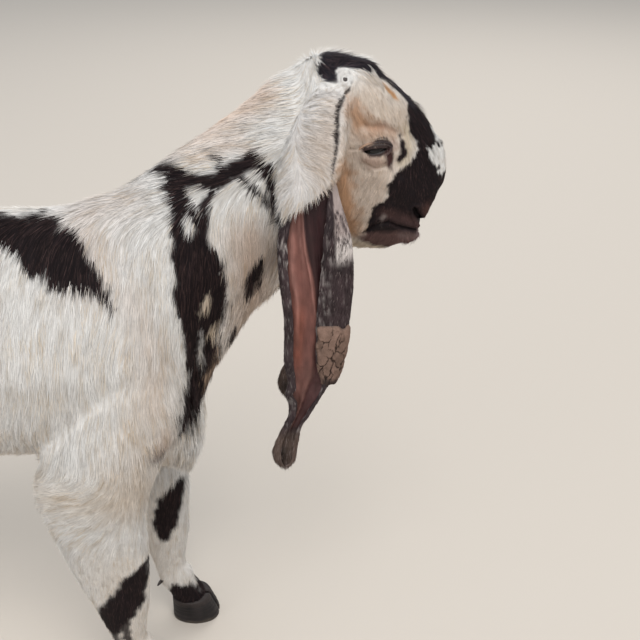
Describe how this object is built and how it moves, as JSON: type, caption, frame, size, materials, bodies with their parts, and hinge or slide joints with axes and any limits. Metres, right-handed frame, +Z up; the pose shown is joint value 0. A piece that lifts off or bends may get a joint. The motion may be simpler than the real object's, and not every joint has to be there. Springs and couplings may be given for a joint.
{
  "type": "mewati goat",
  "caption": "Life-size standing young goat with an arched nose, very long hanging ears, small horn buds, cloven hooves and a short upturned tail, black and white coat.",
  "frame": {"origin": "on the floor, below the middle of the whole box", "axes": "+X forward to the muzzle, +Y to the goat's left, +Z up"},
  "size_m": [1.0888, 0.285, 0.8784],
  "materials": {
    "coat": "short hair coat, cream white with black and tan patches",
    "ear_skin": "bare pink-brown ear skin with dark speckled hair at the edges",
    "dark_skin": "dark bare skin of lids, lips and nostrils",
    "eyeball": "wet dark brown eye with a level slot pupil",
    "hoof_horn": "dull dark horn with growth rings",
    "bud_horn": "grey horn",
    "dry_mud": "cracked dry mud on one ear"
  },
  "bodies": {
    "root": {"ear_left": "ear_skin", "ear_right": "ear_skin", "eye_left": "eyeball", "eye_right": "eyeball", "foreleg_left_lower": "coat", "foreleg_left_upper": "coat", "foreleg_right_lower": "coat", "foreleg_right_upper": "coat", "head": "coat", "hindleg_left_lower": "coat", "hindleg_left_upper": "coat", "hindleg_right_lower": "coat", "hindleg_right_upper": "coat", "hoof_fore_left_inner": "hoof_horn", "hoof_fore_left_outer": "hoof_horn", "hoof_fore_right_inner": "hoof_horn", "hoof_fore_right_outer": "hoof_horn", "hoof_hind_left_inner": "hoof_horn", "hoof_hind_left_outer": "hoof_horn", "hoof_hind_right_inner": "hoof_horn", "hoof_hind_right_outer": "hoof_horn", "horn_bud_left": "bud_horn", "horn_bud_right": "bud_horn", "neck": "coat", "tail": "coat", "torso": "coat"}
  },
  "joints": []
}
